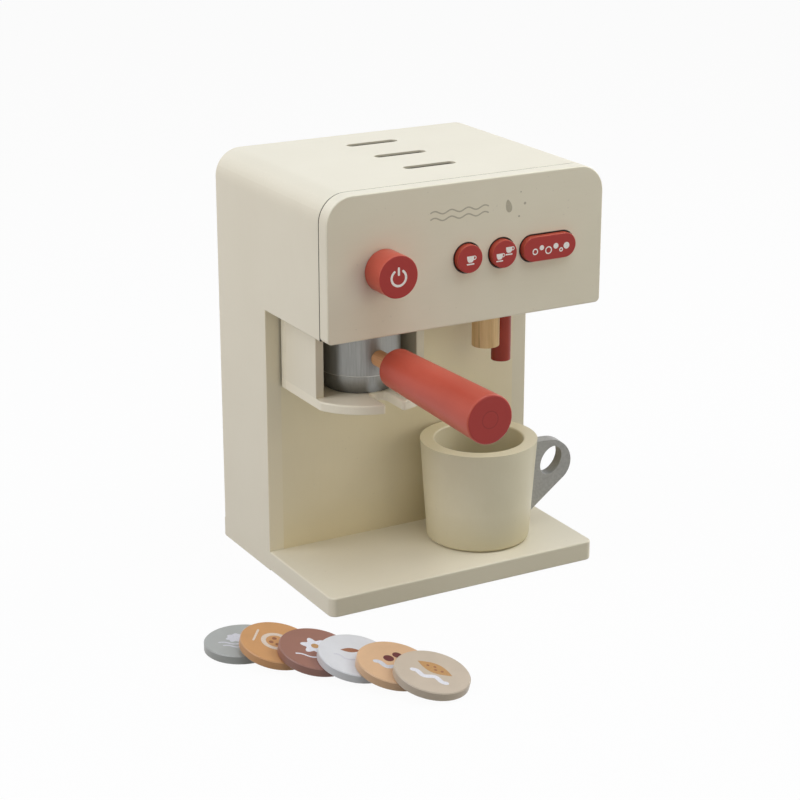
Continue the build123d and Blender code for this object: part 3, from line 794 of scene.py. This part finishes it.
ROW_TURN = -54.0              # degrees from the toy's width to the row
LEAN = 12.81                  # degrees that every disc but the first leans
DISC_HALF = 2.5               # half a disc's thickness in millimetres
PICTURE_SIZE = 1.12
CLOUD_SHADE = 0.94            # of a disc's colour, in its darker clouds
RIM_PLIES_AND_SHADE = 0.80              # the plies at the rim take up the paint and dry darker; painted shade darkens the rims further
PETAL_STEPS = 72
LEAF_STEPS = 12
SPOT_STEP = 20                # degrees

cream_ink = ink("cream_ink", (0.760, 0.640, 0.520, 1))
pale_ink = ink("pale_grey_ink", (0.640, 0.645, 0.680, 1))
bright_ink = ink("bright_white_ink", (0.800, 0.800, 0.840, 1))
brown_ink = ink("brown_ink", (0.330, 0.135, 0.070, 1))
nut_ink = ink("nut_ink", (0.520, 0.290, 0.110, 1))
berry_ink = ink("berry_ink", (0.130, 0.022, 0.026, 1))


def petals(x, y, middle, swing, count):
    """Outline of a flower."""
    turns = [math.tau * i / PETAL_STEPS for i in range(PETAL_STEPS)]
    reaches = [middle + swing * math.cos(count * a) for a in turns]
    return [(x + reach * math.cos(a), y + reach * math.sin(a)) for a, reach in zip(turns, reaches)]


def leaf(x, y, length, width, turn):
    """Outline of a leaf with two pointed ends."""
    along = Matrix.Rotation(math.radians(turn), 2)
    upper = [Vector((length * (i / LEAF_STEPS - 0.5), width / 2 * math.sin(math.pi * i / LEAF_STEPS)))
             for i in range(LEAF_STEPS + 1)]
    lower = [Vector((-place.x, -place.y)) for place in upper[1:-1]]
    return [(x + (along @ place).x, y + (along @ place).y) for place in upper + lower]


def spots(places, radius, ink_used, layer=0):
    """Small round dots of one size."""
    return [ink_dot(x, y, radius, ink_used, layer, SPOT_STEP) for x, y in places]


def disc_pictures():
    """Disc, its colour, how far its picture is turned, and the shapes of the picture."""
    yield "grey", (0.405, 0.420, 0.395, 1), 18, [
        ink_patch(petals(-3.5, 2.4, 4.6, 0.5, 7), pale_ink),
        ink_patch(petals(2.5, 1.6, 3.8, 0.5, 6), pale_ink, 0.5),
        ink_line(wave((-11, -4.2), (5, -4.2), 0.7, 1.5), 1.2, pale_ink),
        ink_line(wave((-8, -7.4), (6, -7.4), 0.7, 1.5), 1.2, pale_ink),
    ]
    yield "tan", (0.640, 0.335, 0.140, 1), 0, [
        ink_ring((-1, 0), 7.6, 2.4, cream_ink),
        *spots(((-3, 1.7), (1, 1.7), (-2.6, -2.2), (1, -2.0)), 1.2, brown_ink),
        ink_line([(-13, 3.5), (-10, -7.5)], 1.1, cream_ink),
    ]
    yield "brown", (0.330, 0.160, 0.120, 1), 24, [
        ink_patch(petals(-1, 2.0, 6.0, 1.4, 6), bright_ink),
        *spots([(-1, 2.0)], 2.0, nut_ink, 1),
        ink_line(wave((-10, -8), (6, -8), 0.6, 1.5), 1.0, bright_ink),
    ]
    yield "white", (0.720, 0.730, 0.740, 1), 10, [
        ink_patch(leaf(-3.6, 2.5, 10.5, 3.8, 28), brown_ink),
        ink_patch(leaf(3.8, 3.6, 9.5, 3.4, 150), brown_ink),
        ink_line(wave((-10, -5.5), (8, -5.5), 0.8, 2), 1.2, pale_ink),
    ]
    yield "peach", (0.700, 0.455, 0.265, 1), 14, [
        *spots(((-3.6, 2.0), (2.6, 3.2)), 2.7, berry_ink),
        *spots([(-0.4, 7.0)], 2.4, berry_ink),
        ink_line(wave((-10, -4.6), (9, -4.6), 1.2, 2), 2.8, pale_ink),
    ]
    yield "beige", (0.590, 0.500, 0.390, 1), 6, [
        ink_patch(leaf(0, 3.4, 19.0, 8.4, -8), nut_ink),
        *spots(((-3.8, 3.9), (-0.4, 4.6), (0.8, 2.2), (4.0, 2.8)), 0.75, brown_ink, 1),
        ink_line(wave((-10, -5.0), (10, -5.0), 1.2, 2), 2.8, bright_ink),
    ]


for name, colour, picture_turn, shapes in disc_pictures():
    set_finish(("disc_" + name,), painted(
        f"{name}_disc_paint", colour, darker(colour, CLOUD_SHADE), grain=(1, 1, 1), shade_size=0.01,
        turned="Z", side_colour=darker(colour, RIM_PLIES_AND_SHADE)))
    low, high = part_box("disc_" + name)
    lean = 0.0 if name == "grey" else LEAN
    stance = Matrix.Rotation(math.radians(ROW_TURN), 4, "Z") @ Matrix.Rotation(math.radians(lean), 4, "Y")
    face = Matrix.Translation((low + high) / 2) @ stance @ Matrix.Translation((0, 0, DISC_HALF / 1000))
    turn = Matrix.Rotation(math.radians(picture_turn), 4, "Z") @ Matrix.Scale(PICTURE_SIZE, 4)
    printed(f"{name}_disc_picture", f"{name}_disc", face @ turn, shapes)
